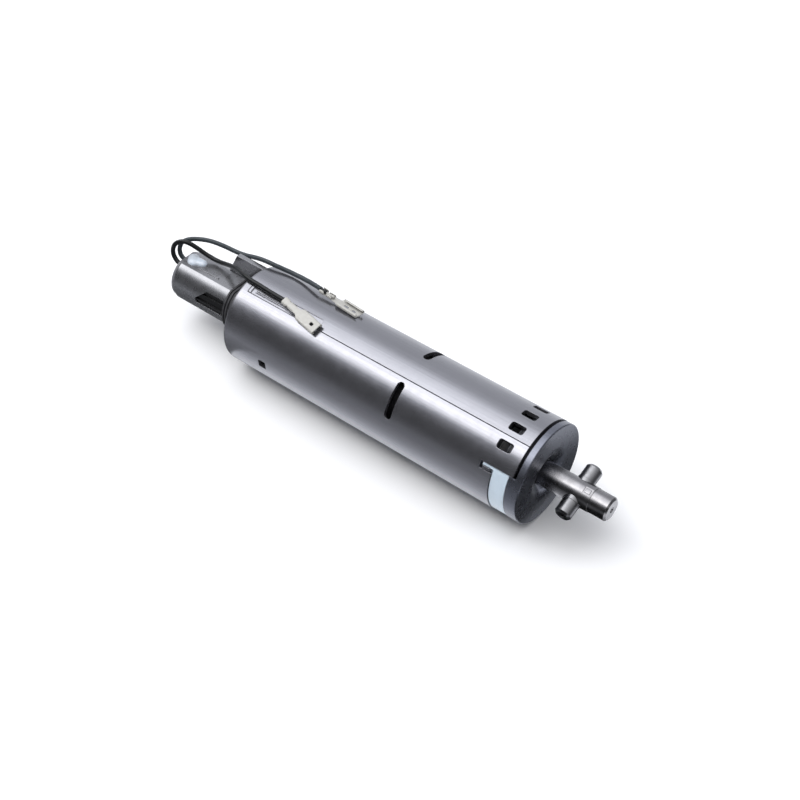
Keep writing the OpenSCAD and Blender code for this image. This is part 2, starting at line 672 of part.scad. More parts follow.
// Crimped receptacle, drawn along +X from the end of the lead, its flat back at z = -base
module receptacle() {
    t = 0.35;
    h = 1.8;
    base = 0.85;
    box_x = 10.4;
    box_len = 10;
    roll = 0.65;
    // insulation crimp, conductor crimp and the strip that joins them to the box
    translate([0.1, 0, 0]) rotate([0, 90, 0]) cylinder(r = 1.02, h = 2.6, $fn = 32);
    translate([3.6, 0, 0.1]) rotate([0, 90, 0]) cylinder(r = 0.85, h = 3, $fn = 32);
    translate([0.1, -0.7, -base]) cube([6.6, 1.4, 0.7]);
    translate([0, 0, -base]) linear_extrude(t) polygon([[0.1, -0.9], [6.4, -0.9],
        [box_x + 0.6, -tab_w / 2 + 0.3], [box_x + 0.6, tab_w / 2 - 0.3], [6.4, 0.9], [0.1, 0.9]]);
    // blade box: a flat back, two side walls and edges rolled in towards the blade
    translate([box_x, 0, -base]) {
        translate([0, -tab_w / 2 + 0.3, 0]) cube([box_len, tab_w - 0.6, t]);
        for (s = [0, 1]) mirror([0, s, 0]) {
            translate([0, tab_w / 2 - 0.4, 0.4]) rotate([0, 90, 0])
                cylinder(r = 0.4, h = box_len, $fn = 32);
            translate([0, tab_w / 2 - t, 0.4]) cube([box_len, t, h - 1]);
            translate([0, tab_w / 2 - roll, h - roll]) rotate([0, 90, 0])
                cylinder(r = roll, h = box_len, $fn = 32);
            translate([0, 0.5, h - t]) cube([box_len, tab_w / 2 - 0.5 - roll, t]);
        }
    }
}

// The first terminal lies with its flat back up, which has a small round hole near its mouth
module receptacle_1() color(tin) translate(lead_1_route[len(lead_1_route) - 1])
    rotate([21.2, 0, 0]) rotate([0, 0, -11.5]) difference() {
        mirror([0, 0, 1]) receptacle();
        translate([17.2, 0, 0.2]) cylinder(r = 0.65, h = 3, $fn = 32);
    }

// The second terminal lies with its open side up
module receptacle_2() color(tin) translate(lead_2_route[len(lead_2_route) - 1])
    rotate([-8, 0, 0]) rotate([0, 0, -3.4]) rotate([0, 2, 0]) receptacle();

shell_lower();
shell_upper();
rear_neck();
neck_collar();
tail_grommet();
adhesive_blob();
front_cap();
locking_clip();
front_bearing_outer();
front_bearing_inner();
front_bearing_balls();
output_shaft();
cross_pin();
shaft_circlip();
shaft_spacer();
output_carrier();
planet_out_a();
planet_out_b();
planet_out_c();
ring_gear();
input_carrier();
planet_in_a();
planet_in_b();
planet_in_c();
motor_pinion();
gearbox_adapter();
adapter_screws();
motor_can();
front_bush();
magnets();
armature_shaft();
lamination_stack();
windings();
commutator();
end_bell();
rear_bush();
brushes();
brush_springs();
motor_tabs();
suppressor_capacitor();
inner_leads();
lead_1();
lead_2();
receptacle_1();
receptacle_2();
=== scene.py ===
"""Looks of the tubular roller shutter motor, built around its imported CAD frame.

Everything is in metres in the part's own frame: origin at the centre of the cross pin, +X out
along the drive axis, +Z up through the flat of the rear neck.
"""

import math

import bmesh
import bpy
from mathutils import Matrix, Vector


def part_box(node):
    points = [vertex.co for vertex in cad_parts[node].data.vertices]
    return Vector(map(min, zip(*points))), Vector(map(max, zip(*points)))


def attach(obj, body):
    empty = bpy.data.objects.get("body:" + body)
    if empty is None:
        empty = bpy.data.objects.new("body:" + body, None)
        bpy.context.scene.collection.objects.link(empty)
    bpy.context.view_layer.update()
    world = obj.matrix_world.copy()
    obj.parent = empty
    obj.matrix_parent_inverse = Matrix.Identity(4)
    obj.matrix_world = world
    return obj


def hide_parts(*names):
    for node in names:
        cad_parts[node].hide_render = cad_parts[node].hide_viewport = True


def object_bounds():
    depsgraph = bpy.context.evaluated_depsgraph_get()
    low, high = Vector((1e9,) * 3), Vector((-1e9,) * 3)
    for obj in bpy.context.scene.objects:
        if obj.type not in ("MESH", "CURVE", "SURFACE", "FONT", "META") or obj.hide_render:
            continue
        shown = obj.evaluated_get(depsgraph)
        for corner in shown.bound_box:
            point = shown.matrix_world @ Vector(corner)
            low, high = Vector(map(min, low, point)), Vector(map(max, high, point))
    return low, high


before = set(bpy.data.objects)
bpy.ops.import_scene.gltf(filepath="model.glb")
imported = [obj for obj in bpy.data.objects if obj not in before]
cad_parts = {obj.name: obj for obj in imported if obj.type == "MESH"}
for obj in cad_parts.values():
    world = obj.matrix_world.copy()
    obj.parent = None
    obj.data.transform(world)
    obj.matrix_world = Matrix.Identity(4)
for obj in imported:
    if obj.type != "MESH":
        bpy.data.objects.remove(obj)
cad_low, cad_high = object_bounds()

MM = 0.001
RIM_X = -15.6 * MM          # rear edge of the front cap's rim
MIX_A, MIX_B, MIX_OUT = 6, 7, 2     # colour sockets of a mix node
scene = bpy.context.scene


# ------------------------------------------------------------------ camera, floor and studio

CAMERA_TARGET = Vector((-75.6, -5.4, 2.6)) * MM
CAMERA_ANGLES = (38.56, 44.87)      # azimuth and elevation, in degrees
CAMERA_DISTANCE = 0.52
CAMERA_LENS = 63.28                 # in millimetres, on a sensor of SENSOR_WIDTH
SENSOR_WIDTH = 36
FLOOR_HALF = 4.0                    # half the side of the square floor
BACKDROP_TOP = 4.0
QUADRANTS = ((-1, -1), (1, -1), (1, 1), (-1, 1))


def link(name, data):
    """A new object of that name in the scene."""
    obj = bpy.data.objects.new(name, data)
    scene.collection.objects.link(obj)
    return obj


def aim(obj, target, away, distance):
    """Puts obj at that distance from target along away, looking back at target."""
    obj.location = target + away * distance
    obj.rotation_euler = away.to_track_quat("Z", "Y").to_euler()


def direction(azimuth, elevation):
    """Unit vector towards a viewer. Azimuth 0 looks along +Y and grows towards +X."""
    az, el = math.radians(azimuth), math.radians(elevation)
    return Vector((math.sin(az) * math.cos(el), -math.cos(az) * math.cos(el), math.sin(el)))


def make_camera():
    data = bpy.data.cameras.new("camera")
    data.sensor_width = SENSOR_WIDTH
    data.lens = CAMERA_LENS
    camera = link("camera", data)
    aim(camera, CAMERA_TARGET, direction(*CAMERA_ANGLES), CAMERA_DISTANCE)
    scene.camera = camera


def hide_from(obj, *rays):
    """Keeps obj out of those kinds of ray."""
    for ray in rays:
        setattr(obj, f"visible_{ray}", False)


def glowing(name, mesh):
    """Gives mesh a glowing material that isn't sampled as a light. Returns its tree and glow."""
    mat = bpy.data.materials.new(name)
    mat.use_nodes = True
    mat.cycles.emission_sampling = "NONE"
    tree = mat.node_tree
    glow = tree.nodes.new("ShaderNodeEmission")
    tree.links.new(glow.outputs["Emission"], tree.nodes["Material Output"].inputs["Surface"])
    mesh.materials.append(mat)
    return tree, glow


def make_floor(floor_z):
    """Plain pale floor. It takes shadows but isn't seen in the part's reflections."""
    mesh = bpy.data.meshes.new("floor")
    corners = [(sx * FLOOR_HALF, sy * FLOOR_HALF, floor_z) for sx, sy in QUADRANTS]
    mesh.from_pydata(corners, [], [(0, 1, 2, 3)])
    floor = link("floor", mesh)
    mat = bpy.data.materials.new("floor")
    mat.use_nodes = True
    bsdf = mat.node_tree.nodes["Principled BSDF"]
    bsdf.inputs["Base Color"].default_value = (0.94, 0.94, 0.95, 1)
    bsdf.inputs["Roughness"].default_value = 0.9
    bsdf.inputs["Specular IOR Level"].default_value = 0.1
    mesh.materials.append(mat)
    hide_from(floor, "glossy")


def make_backdrop(floor_z):
    """Pale paper all round, beyond the floor's edge. It gives no light."""
    mesh = bpy.data.meshes.new("backdrop")
    ring = [(sx * FLOOR_HALF, sy * FLOOR_HALF) for sx, sy in QUADRANTS]
    corners = [(x, y, floor_z) for x, y in ring] + [(x, y, BACKDROP_TOP) for x, y in ring]
    mesh.from_pydata(corners, [], [(k, (k + 1) % 4, 4 + (k + 1) % 4, 4 + k) for k in range(4)])
    backdrop = link("backdrop", mesh)
    glow = glowing("backdrop", mesh)[1]
    glow.inputs["Color"].default_value = (0.95, 0.95, 0.96, 1)
    hide_from(backdrop, "diffuse", "glossy", "transmission", "shadow")


# Brightness of the studio by angle around the row X axis, in degrees from straight up towards
# the camera's side: a pale backdrop behind, a long softbox overhead, an unlit room in front
STUDIO = [
    (-180, 1.2), (-166, 0.9), (-152, 0.54), (-132, 0.95), (-108, 1.05), (-90, 0.95), (-68, 0.86),
    (-46, 0.86), (-34, 1.2), (-22, 2.3), (-8, 2.85), (6, 3.2), (14, 4.1), (28, 4.5), (38, 1.1),
    (48, 0.28), (60, 0.05), (74, 0.02), (88, 0.05), (100, 0.24), (122, 0.43), (140, 0.7),
    (160, 1.12), (180, 1.2),
]
# and how much of it is left at each value of the direction's X component
ALONG = [(-1.0, 0.3), (-0.8, 0.75), (-0.6, 1.0), (-0.3, 1.0), (0.1, 0.6), (0.5, 0.35), (1.0, 0.15)]
PEAK = 4.5


def ramp(tree, fac, stops, low, high, scale=1.0, cool=0.0):
    """Colour ramp over low..high. Dim stops turn slightly blue where cool is above 0."""
    spread = tree.nodes.new("ShaderNodeMapRange")
    spread.inputs["From Min"].default_value = low
    spread.inputs["From Max"].default_value = high
    tree.links.new(fac, spread.inputs["Value"])
    made = tree.nodes.new("ShaderNodeValToRGB")
    made.color_ramp.interpolation = "LINEAR"
    points = made.color_ramp.elements
    while len(points) < len(stops):
        points.new(0.5)
    for point, (place, value) in zip(points, stops):
        point.position = (place - low) / (high - low)
        blue = cool * (1 - value * scale)
        level = value * scale
        point.color = (level * (1 - blue), level * (1 - 0.7 * blue), level, 1)
    tree.links.new(spread.outputs["Result"], made.inputs["Fac"])
    return made.outputs["Color"]


def make_studio():
    """World light: STUDIO around the row X axis, times ALONG over the direction's X component."""
    world = bpy.data.worlds.new("studio")
    scene.world = world
    world.use_nodes = True
    tree = world.node_tree
    towards = tree.nodes.new("ShaderNodeTexCoord").outputs["Generated"]
    parts = tree.nodes.new("ShaderNodeSeparateXYZ")
    tree.links.new(towards, parts.inputs["Vector"])
    front = tree.nodes.new("ShaderNodeMath")
    front.operation = "MULTIPLY"
    front.inputs[1].default_value = -1
    tree.links.new(parts.outputs["Y"], front.inputs[0])
    angle = tree.nodes.new("ShaderNodeMath")
    angle.operation = "ARCTAN2"
    tree.links.new(front.outputs["Value"], angle.inputs[0])
    tree.links.new(parts.outputs["Z"], angle.inputs[1])
    degrees = tree.nodes.new("ShaderNodeMath")
    degrees.operation = "DEGREES"
    tree.links.new(angle.outputs["Value"], degrees.inputs[0])
    around = ramp(tree, degrees.outputs["Value"], STUDIO, -180, 180, 1 / PEAK, cool=0.1)
    along = ramp(tree, parts.outputs["X"], ALONG, -1, 1)
    both = tree.nodes.new("ShaderNodeMix")
    both.data_type = "RGBA"
    both.blend_type = "MULTIPLY"
    both.inputs["Factor"].default_value = 1
    tree.links.new(around, both.inputs[MIX_A])
    tree.links.new(along, both.inputs[MIX_B])
    background = tree.nodes["Background"]
    background.inputs["Strength"].default_value = PEAK
    tree.links.new(both.outputs[MIX_OUT], background.inputs["Color"])


def make_shade_card(name, floor_z, x_range, y_range, slope, stops):
    """Glowing card lying on the floor, shaded along slope[0] * x + slope[1] * y in millimetres.

    Only glossy surfaces see it. Its glow is painted shade: a painted reflection of the shaded floor close
    to the part.
    """
    (x0, x1), (y0, y1) = x_range, y_range
    mesh = bpy.data.meshes.new(name)
    corners = [(x * MM, y * MM, floor_z) for x, y in ((x0, y0), (x1, y0), (x1, y1), (x0, y1))]
    mesh.from_pydata(corners, [], [(0, 1, 2, 3)])
    card = link(name, mesh)
    tree, glow = glowing(name, mesh)
    along = tree.nodes.new("ShaderNodeVectorMath")
    along.operation = "DOT_PRODUCT"
    along.inputs[1].default_value = (slope[0] / MM, slope[1] / MM, 0)
    tree.links.new(tree.nodes.new("ShaderNodeTexCoord").outputs["Object"], along.inputs[0])
    glow.inputs["Strength"].default_value = PEAK
    shade = ramp(tree, along.outputs["Value"], stops, stops[0][0], stops[-1][0], 1 / PEAK, cool=0.1)
    tree.links.new(shade, glow.inputs["Color"])
    hide_from(card, "camera", "diffuse", "transmission", "shadow")


scene.view_settings.view_transform = "Standard"
make_camera()
make_floor(cad_low.z)
make_backdrop(cad_low.z)
# Painted shade in reflections: glowing cards for the shaded floor beside the cap and under the neck
make_shade_card("cap_shade_card", cad_low.z, (-10, 170), (-60, 200), (1.2, 0.5),
          [(0, 0.02), (13, 0.06), (24, 0.75), (40, 1.7), (58, 1.1), (80, 0.2)])
make_shade_card("neck_shade_card", cad_low.z, (-260, -158), (-80, 40), (0, 1),
          [(-60, 0.5), (-25, 0.22), (10, 0.12)])
make_studio()


# ------------------------------------------------------------------ material helpers

class Surface:
    """A principled material whose colour, gloss and relief come from procedural nodes."""

    def __init__(self, name, color, **sockets):
        self.mat = bpy.data.materials.new(name)
        self.mat.use_nodes = True
        self.tree = self.mat.node_tree
        self.bsdf = self.tree.nodes["Principled BSDF"]
        self.bsdf.inputs["Base Color"].default_value = (*color, 1)
        for socket, value in sockets.items():
            self.bsdf.inputs[socket.replace("_", " ")].default_value = value
        self.coords = self.tree.nodes.new("ShaderNodeTexCoord").outputs["Object"]
        self.normal = None

    def node(self, kind, **values):
        made = self.tree.nodes.new(kind)
        for key, value in values.items():
            if key in made.inputs:
                made.inputs[key].default_value = value
            else:
                setattr(made, key, value)
        return made

    def wire(self, a, b):
        self.tree.links.new(a, b)

    def noise(self, size, stretch=(1, 1, 1), detail=3.0, rough=0.55):
        """Noise whose grains are about size metres, drawn out by stretch along the row axes."""
        mapping = self.node("ShaderNodeMapping")
        mapping.inputs["Scale"].default_value = [1 / (size * s) for s in stretch]
        self.wire(self.coords, mapping.inputs["Vector"])
        made = self.node("ShaderNodeTexNoise", Scale=1.0, Detail=detail, Roughness=rough)
        self.wire(mapping.outputs["Vector"], made.inputs["Vector"])
        return made.outputs["Fac"]

    def span(self, fac, low, high, start=0.3, stop=0.7):
        """fac from start..stop spread over low..high."""
        made = self.node("ShaderNodeMapRange")
        for key, value in (("From Min", start), ("From Max", stop), ("To Min", low), ("To Max", high)):
            made.inputs[key].default_value = value
        self.wire(fac, made.inputs["Value"])
        return made.outputs["Result"]

    def tint(self, fac, color):
        """Blends the base colour towards another one by fac, on top of what is there."""
        mix = self.node("ShaderNodeMix", data_type="RGBA")
        base = self.bsdf.inputs["Base Color"]
        if base.is_linked:
            self.wire(base.links[0].from_socket, mix.inputs[MIX_A])
        else:
            mix.inputs[MIX_A].default_value = base.default_value
        mix.inputs[MIX_B].default_value = (*color, 1)
        self.wire(fac, mix.inputs["Factor"])
        self.wire(mix.outputs[MIX_OUT], base)

    def rough(self, fac, low, high):
        self.wire(self.span(fac, low, high), self.bsdf.inputs["Roughness"])

    def soften(self, radius):
        """Rounds the look of sharp edges."""
        bevel = self.node("ShaderNodeBevel", samples=6)
        bevel.inputs["Radius"].default_value = radius
        self.normal = bevel.outputs["Normal"]
        self.wire(self.normal, self.bsdf.inputs["Normal"])
        return self.normal

    def relief(self, fac, depth):
        """Bump of that depth in metres, on top of any before it."""
        made = self.node("ShaderNodeBump")
        made.inputs["Distance"].default_value = depth
        self.wire(fac, made.inputs["Height"])
        if self.normal:
            self.wire(self.normal, made.inputs["Normal"])
        self.normal = made.outputs["Normal"]
        self.wire(self.normal, self.bsdf.inputs["Normal"])


def lacquer(name, color, roughness=0.3, painted_shade_recess=None):
    """Glossy metallic lacquer on moulded metal: fine flake, faint ripple, hairline scuffs.

    The last argument is (radius, axis, limit): nearer the drive axis than radius, and below limit along
    the named row axis, the colour is darkened as painted shade in the hollow.
    """
    s = Surface(name, color, Metallic=0.85, Roughness=roughness, Coat_Weight=0.12, Coat_Roughness=0.2)
    flake = s.noise(0.12 * MM, detail=1)
    s.tint(s.span(flake, 0, 0.12), [min(1, c * 1.3) for c in color])
    cloud = s.noise(14 * MM, detail=3)
    s.tint(s.span(cloud, 0, 0.2), [c * 0.82 for c in color])
    streaks = s.noise(0.6 * MM, (70, 1, 1), detail=3)
    s.tint(s.span(streaks, 0, 0.35), [c * 0.7 for c in color])
    # Painted shade: darkens the hollow nearer the axis than radius and below limit
    if painted_shade_recess:
        radius, axis, limit = painted_shade_recess
        split = s.node("ShaderNodeSeparateXYZ")
        s.wire(s.coords, split.inputs["Vector"])
        across = s.node("ShaderNodeVectorMath", operation="MULTIPLY")
        across.inputs[1].default_value = (0, 1, 1)
        s.wire(s.coords, across.inputs[0])
        reach = s.node("ShaderNodeVectorMath", operation="LENGTH")
        s.wire(across.outputs["Vector"], reach.inputs[0])
        within = s.span(reach.outputs["Value"], 1, 0, radius, radius + 0.1 * MM)
        below = s.span(split.outputs[axis], 1, 0, limit - 0.1 * MM, limit)
        both = s.node("ShaderNodeMath", operation="MULTIPLY")
        s.wire(within, both.inputs[0])
        s.wire(below, both.inputs[1])
        s.tint(both.outputs["Value"], [c * 0.08 for c in color])
    s.rough(s.noise(3 * MM, detail=4), roughness - 0.04, roughness + 0.05)
    s.soften(0.25 * MM)
    s.relief(s.noise(1.4 * MM, detail=2), 0.004 * MM)
    s.relief(streaks, 0.003 * MM)
    return s.mat


def turned_steel(name, color, roughness, axis="x"):
    """Bright steel with fine turning rings around the given row axis."""
    s = Surface(name, color, Metallic=1.0, Roughness=roughness)
    rings = s.noise(0.07 * MM, (1, 60, 60) if axis == "x" else (60, 1, 1), detail=2)
    stain = s.noise(3.5 * MM, detail=4)
    s.tint(s.span(stain, 0, 0.5), [c * 0.55 for c in color])
    s.tint(s.span(rings, 0, 0.25), [min(1, c * 1.4) for c in color])
    s.rough(stain, roughness - 0.04, roughness + 0.1)
    s.soften(0.2 * MM)
    s.relief(rings, 0.004 * MM)
    return s.mat


def ground_steel(name, color, roughness):
    """Flat ground or stamped steel with a brushed grain and a few darker patches."""
    s = Surface(name, color, Metallic=1.0, Roughness=roughness)
    grain = s.noise(0.1 * MM, (1, 18, 1), detail=3)
    patch = s.noise(5 * MM, detail=5)
    s.tint(s.span(grain, 0, 0.3), [c * 0.7 for c in color])
    s.tint(s.span(patch, 0, 0.3), [c * 0.6 for c in color])
    s.rough(patch, roughness - 0.05, roughness + 0.12)
    s.soften(0.12 * MM)
    s.relief(grain, 0.004 * MM)
    return s.mat


def moulding(name, color, roughness=0.5, sheen=0.0, translucent=0.0):
    """Moulded plastic with a fine eroded skin and slight mottling."""
    s = Surface(name, color, Roughness=roughness, Coat_Weight=sheen, Coat_Roughness=0.2)
    if translucent:
        s.bsdf.inputs["Subsurface Weight"].default_value = translucent
        s.bsdf.inputs["Subsurface Radius"].default_value = (1, 0.9, 0.85)
        s.bsdf.inputs["Subsurface Scale"].default_value = 0.8 * MM
    skin = s.noise(0.18 * MM, detail=3)
    cloud = s.noise(6 * MM, detail=4)
    s.tint(s.span(cloud, 0, 0.35), [c * 0.8 for c in color])
    s.tint(s.span(skin, 0, 0.25), [min(1, c * 1.15 + 0.01) for c in color])
    s.rough(skin, roughness - 0.06, roughness + 0.08)
    s.soften(0.15 * MM)
    s.relief(skin, 0.008 * MM)
    return s.mat


def rubber(name, color):
    """Soft black rubber or vinyl, slightly dusty."""
    s = Surface(name, color, Roughness=0.6, Specular_IOR_Level=0.4)
    dust = s.noise(2.2 * MM, detail=5)
    s.tint(s.span(dust, 0, 0.3), (0.16, 0.16, 0.17))
    s.rough(dust, 0.5, 0.72)
    s.soften(0.15 * MM)
    s.relief(s.noise(0.25 * MM, detail=3), 0.01 * MM)
    return s.mat


def vinyl_lead(name, color):
    """Lead insulation: glossy vinyl with faint waves from the strands beneath."""
    s = Surface(name, color, Roughness=0.36, Specular_IOR_Level=0.3)
    wave = s.noise(1.1 * MM, detail=2)
    s.tint(s.span(wave, 0, 0.4), [c * 1.8 + 0.004 for c in color])
    s.rough(s.noise(0.8 * MM, detail=4), 0.26, 0.42)
    s.relief(wave, 0.02 * MM)
    return s.mat


def tinned(name, color):
    """Tin plate on brass: soft, pale and finely scratched."""
    s = Surface(name, color, Metallic=0.15, Roughness=0.42)
    patch = s.noise(1.1 * MM, detail=5)
    scratch = s.noise(0.08 * MM, (14, 1, 1), detail=2)
    s.tint(s.span(patch, 0, 0.35), [c * 0.7 for c in color])
    s.tint(s.span(scratch, 0, 0.2), (0.46, 0.42, 0.33))
    s.rough(patch, 0.34, 0.52)
    s.relief(scratch, 0.004 * MM)
    s.relief(s.noise(0.7 * MM, detail=2), 0.012 * MM)
    return s.mat


def laminated(name, color):
    """Stack of thin sheets, seen as fine rings along the axis."""
    s = Surface(name, color, Metallic=0.9, Roughness=0.42)
    wave = s.node("ShaderNodeTexWave", Scale=320.0, Distortion=0.4)
    s.wire(s.coords, wave.inputs["Vector"])
    s.tint(s.span(wave.outputs["Fac"], 0, 0.7, 0.2, 0.8), [c * 0.3 for c in color])
    s.rough(s.noise(1.5 * MM, detail=4), 0.34, 0.55)
    s.relief(wave.outputs["Fac"], 0.03 * MM)
    return s.mat


def wound_copper(name, color):
    """Enamelled wire laid side by side."""
    s = Surface(name, color, Metallic=0.85, Roughness=0.28, Coat_Weight=0.5, Coat_Roughness=0.1)
    strands = s.node("ShaderNodeTexWave", Scale=560.0, Distortion=1.5, wave_type="RINGS")
    s.wire(s.coords, strands.inputs["Vector"])
    s.tint(s.span(strands.outputs["Fac"], 0, 0.75, 0.1, 0.9), [c * 0.3 for c in color])
    s.rough(s.noise(2 * MM, detail=3), 0.2, 0.38)
    s.relief(strands.outputs["Fac"], 0.09 * MM)
    return s.mat


def sintered(name, color, roughness=0.75):
    """Ferrite or carbon: dark, porous and a little shiny on the high spots."""
    s = Surface(name, color, Roughness=roughness, Metallic=0.1)
    pores = s.noise(0.3 * MM, detail=6, rough=0.7)
    s.tint(s.span(pores, 0, 0.5), [c * 0.5 for c in color])
    s.rough(pores, roughness - 0.15, roughness + 0.1)
    s.relief(pores, 0.03 * MM)
    return s.mat


# ------------------------------------------------------------------ materials

graphite = lacquer("graphite_lacquer", (0.280, 0.281, 0.307), 0.22)
# Painted shade darkens the cap's groove behind its rim and the recessed pocket on the neck's near side
cap_lacquer = lacquer("cap_lacquer", (0.165, 0.174, 0.21), 0.28, (19 * MM, "X", RIM_X))
neck_lacquer = lacquer("neck_lacquer", (0.278, 0.280, 0.296), 0.28, (9.8 * MM, "Y", -7 * MM))
shaft_steel = turned_steel("shaft_steel", (0.27, 0.265, 0.275), 0.24)
pin_steel = turned_steel("pin_steel", (0.25, 0.25, 0.26), 0.26, axis="pin")
bearing_steel = turned_steel("bearing_steel", (0.66, 0.67, 0.69), 0.14)
can_steel = ground_steel("can_steel", (0.55, 0.56, 0.57), 0.34)
carrier_steel = ground_steel("carrier_steel", (0.50, 0.50, 0.52), 0.30)
sintered_steel = ground_steel("sintered_steel", (0.30, 0.30, 0.31), 0.42)
screw_steel = ground_steel("screw_steel", (0.60, 0.61, 0.63), 0.28)
brass = turned_steel("brass", (0.72, 0.56, 0.26), 0.24)
copper = turned_steel("copper", (0.78, 0.42, 0.26), 0.26)
white_clip = moulding("white_clip", (0.60, 0.70, 0.79), 0.32, sheen=0.2, translucent=0.25)
glue_mat = moulding("glue", (0.66, 0.72, 0.80), 0.30, sheen=0.3, translucent=0.5)
acetal = moulding("acetal", (0.78, 0.76, 0.70), 0.42, translucent=0.2)
black_plastic = moulding("black_plastic", (0.018, 0.018, 0.020), 0.42)
grey_plug = moulding("grey_plug", (0.16, 0.16, 0.175), 0.4)
amber = moulding("capacitor_coat", (0.62, 0.30, 0.05), 0.25, sheen=0.5)
black_rubber = rubber("black_rubber", (0.020, 0.020, 0.023))
lead_black = vinyl_lead("lead_black", (0.006, 0.007, 0.008))
lead_grey = vinyl_lead("lead_grey", (0.034, 0.042, 0.048))
tin = tinned("tin_plate", (0.48, 0.475, 0.455))
core_sheet = laminated("core_sheet", (0.42, 0.43, 0.45))
wire_mat = wound_copper("enamelled_wire", (0.60, 0.25, 0.10))
ferrite = sintered("ferrite", (0.055, 0.055, 0.06))
carbon = sintered("carbon", (0.03, 0.03, 0.032), 0.6)

NODE_MATERIALS = {
    graphite: ["shell_lower", "shell_upper"],
    cap_lacquer: ["front_cap"],
    neck_lacquer: ["rear_neck"],
    black_rubber: ["neck_collar"],
    grey_plug: ["tail_grommet"],
    white_clip: ["locking_clip"],
    bearing_steel: ["front_bearing_outer", "front_bearing_inner", "front_bearing_balls"],
    shaft_steel: ["output_shaft", "shaft_circlip", "armature_shaft"],
    pin_steel: ["cross_pin"],
    carrier_steel: ["output_carrier", "input_carrier", "shaft_spacer"],
    brass: ["motor_pinion", "front_bush", "rear_bush", "motor_tabs"],
    sintered_steel: ["ring_gear"],
    acetal: [f"planet_{stage}_{k}" for stage in ("out", "in") for k in "abc"],
    black_plastic: ["gearbox_adapter", "end_bell"],
    screw_steel: ["adapter_screws", "brush_springs"],
    can_steel: ["motor_can"],
    ferrite: ["magnets"],
    core_sheet: ["lamination_stack"],
    wire_mat: ["windings"],
    copper: ["commutator"],
    carbon: ["brushes"],
    amber: ["suppressor_capacitor"],
    lead_black: ["inner_leads"],
}


def paint_nodes():
    """Gives every CAD node that shows its own finish."""
    for mat, names in NODE_MATERIALS.items():
        for name in names:
            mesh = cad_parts[name].data
            mesh.materials.clear()
            mesh.materials.append(mat)


# ------------------------------------------------------------------ leads

# The routes are the ones in part.scad, in millimetres
EXIT_1 = (-190.55, -3.6, 7.7)
EXIT_2 = (-190.55, -0.6, 7.8)
LEAD_DIAMETER = 1.9 * MM
JACKET_INSET = 0.02 * MM            # how far the visible jacket stays inside that radius
LEAD_1_ROUTE = [
    EXIT_1, (-191.9, -3.6, 7.95), (-193.3, -3.45, 8.9), (-194.35, -3.2, 10.4),
    (-194.75, -2.8, 12.2), (-194.45, -2.3, 14.0), (-193.5, -1.7, 15.5), (-192.1, -1.0, 16.5),
    (-190.2, -0.1, 16.85), (-188.1, 0.8, 16.3), (-186.2, 1.7, 15.1), (-184.2, 2.6, 13.6),
    (-182.0, 3.3, 12.3), (-179.4, 3.8, 11.5), (-176.6, 3.9, 11.4), (-173.6, 3.7, 12.0),
    (-170.6, 3.2, 13.1), (-167.6, 2.4, 14.4), (-164.4, 1.3, 15.9), (-161.2, 0.0, 17.4),
    (-158.2, -1.5, 18.8), (-155.4, -2.9, 20.0), (-152.6, -3.9, 20.75), (-149.4, -4.25, 20.68),
    (-145.2, -4.4, 20.6), (-141.2, -4.6, 20.55), (-136.8, -4.8, 20.54), (-132.2, -4.98, 20.58),
]
LEAD_2_ROUTE = [
    EXIT_2, (-191.8, -0.6, 8.1), (-193.0, -0.5, 9.0), (-193.8, -0.2, 10.4), (-194.0, 0.3, 12.0),
    (-193.5, 1.0, 13.8), (-192.2, 1.9, 15.2), (-190.3, 2.9, 16.2), (-188.0, 4.0, 16.8),
    (-185.4, 5.0, 17.2), (-182.8, 5.9, 17.4), (-180.2, 6.6, 17.4), (-177.0, 7.4, 17.1),
    (-174.2, 8.2, 16.5), (-171.4, 8.7, 16.1), (-169.0, 8.85, 16.2), (-166.5, 8.85, 16.6),
    (-163.8, 8.8, 17.3), (-160.9, 8.75, 18.2), (-157.7, 8.7, 19.1), (-154.8, 8.7, 19.6),
    (-151.8, 8.9, 19.7), (-149.4, 9.3, 19.4), (-147.3, 9.9, 18.95), (-145.3, 10.5, 18.5),
    (-143.2, 11.0, 18.15), (-141.0, 11.3, 17.9), (-138.5, 11.3, 18.05), (-135.65, 10.95, 18.45),
    (-132.6, 10.35, 19.15), (-129.95, 9.65, 19.8), (-127.5, 9.05, 20.35), (-125.2, 8.55, 20.65),
]


def make_lead(name, route, mat):
    """A lead as one open spline with the insulation around it."""
    curve = bpy.data.curves.new(name, "CURVE")
    curve.dimensions = "3D"
    curve.bevel_depth = LEAD_DIAMETER / 2 - JACKET_INSET
    curve.bevel_resolution = 6
    curve.resolution_u = 6
    curve.use_fill_caps = True
    spline = curve.splines.new("BEZIER")
    spline.bezier_points.add(len(route) - 1)
    for point, place in zip(spline.bezier_points, route):
        point.co = Vector(place) * MM
        point.handle_left_type = "AUTO"
        point.handle_right_type = "AUTO"
    curve.materials.append(mat)
    lead = link(name, curve)
    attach(lead, "housing")
    return lead


# ------------------------------------------------------------------ terminals

SHEET = 0.32 * MM               # thickness of the terminals
CURL_STEPS = 14                 # steps across half of a bent sheet
CORE_SIDES = 16                 # sides of the round pieces inside the crimps
STRANDS = 5
STRAND_RING = 0.34              # the strands lie on this radius, in millimetres


def section(flat, curl, half):
    """Half outline of bent sheet: flat for a stretch, then curled up on a radius to its edge.

    Returns (across, up) pairs from the middle of the floor to the edge, in millimetres.
    """
    points = []
    for i in range(CURL_STEPS + 1):
        s = half * i / CURL_STEPS
        if s <= flat:
            points.append((s, 0.0))
        else:
            turn = (s - flat) / curl
            points.append((flat + curl * math.sin(turn), curl * (1 - math.cos(turn))))
    return points


